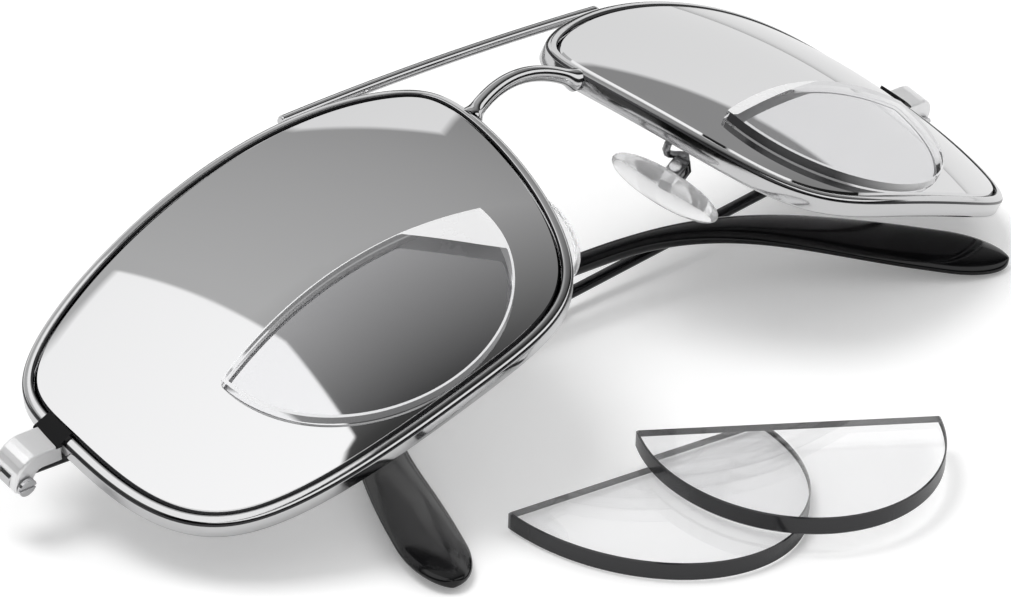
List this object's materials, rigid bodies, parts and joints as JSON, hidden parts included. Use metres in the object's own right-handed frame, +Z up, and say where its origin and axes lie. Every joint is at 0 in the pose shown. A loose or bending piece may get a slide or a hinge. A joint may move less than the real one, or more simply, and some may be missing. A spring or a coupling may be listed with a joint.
{
  "type": "folded sunglasses with stick-on reading segments",
  "caption": "Folded metal sunglasses with a double bridge and half-moon reading segments bonded to tinted lenses, beside a loose pair of the same segments.",
  "frame": {"origin": "centre of the bounding box of the whole set, on the table plane", "axes": "+X along the width of the front toward the viewer right, +Y toward the brow bar, +Z up from the table"},
  "size_m": [0.1436, 0.073, 0.0314],
  "materials": {
    "gunmetal": "polished dark plating",
    "screw_steel": "turned steel",
    "grey_lens": "tinted, mirrored",
    "clear_segment": "clear, polished",
    "black_tip": "gloss black",
    "clear_pad": "clear silicone"
  },
  "bodies": {
    "front": {"bridge": "gunmetal", "brow_bar": "gunmetal", "rim_right": "gunmetal", "rim_left": "gunmetal", "sun_lens_right": "grey_lens", "sun_lens_left": "grey_lens", "reading_segment_right": "clear_segment", "reading_segment_left": "clear_segment", "endpiece_right": "gunmetal", "endpiece_left": "gunmetal", "hinge_screw_right": "screw_steel", "hinge_screw_left": "screw_steel", "pad_arm_right": "gunmetal", "pad_arm_left": "gunmetal", "pad_screw_right": "screw_steel", "pad_screw_left": "screw_steel"},
    "temple_arm_right": {"temple_right": "gunmetal", "temple_tip_right": "black_tip"},
    "temple_arm_left": {"temple_left": "gunmetal", "temple_tip_left": "black_tip"},
    "pad_right": {"nose_pad_right": "clear_pad"},
    "pad_left": {"nose_pad_left": "clear_pad"},
    "loose_segment_lower": {"spare_segment_lower": "clear_segment"},
    "loose_segment_upper": {"spare_segment_upper": "clear_segment"}
  },
  "joints": [
    {"name": "temple_fold_right", "type": "hinge", "parent": "front", "child": "temple_arm_right", "pos_m": [-0.07049, 0.02469, 0.00721], "axis": [0.0048, 0.9618, 0.2737], "range_deg": [0, 93]},
    {"name": "temple_fold_left", "type": "hinge", "parent": "front", "child": "temple_arm_left", "pos_m": [0.07048, 0.02469, 0.00473], "axis": [-0.0048, -0.9618, -0.2737], "range_deg": [0, 89]},
    {"name": "pad_rock_right", "type": "hinge", "parent": "front", "child": "pad_right", "pos_m": [-0.01144, 0.01034, 0.02061], "axis": [-0.5083, 0.3206, -0.7993], "range_deg": [-6, 6]},
    {"name": "pad_rock_left", "type": "hinge", "parent": "front", "child": "pad_left", "pos_m": [0.01194, 0.01034, 0.0202], "axis": [-0.4798, -0.3206, 0.8167], "range_deg": [-6, 6]},
    {"name": "loose_lower_lift", "type": "slide", "parent": "front", "child": "loose_segment_lower", "axis": [0, 0, 1], "range_m": [0, 0.02]},
    {"name": "loose_upper_lift", "type": "slide", "parent": "loose_segment_lower", "child": "loose_segment_upper", "axis": [0, 0, 1], "range_m": [0, 0.02]}
  ]
}
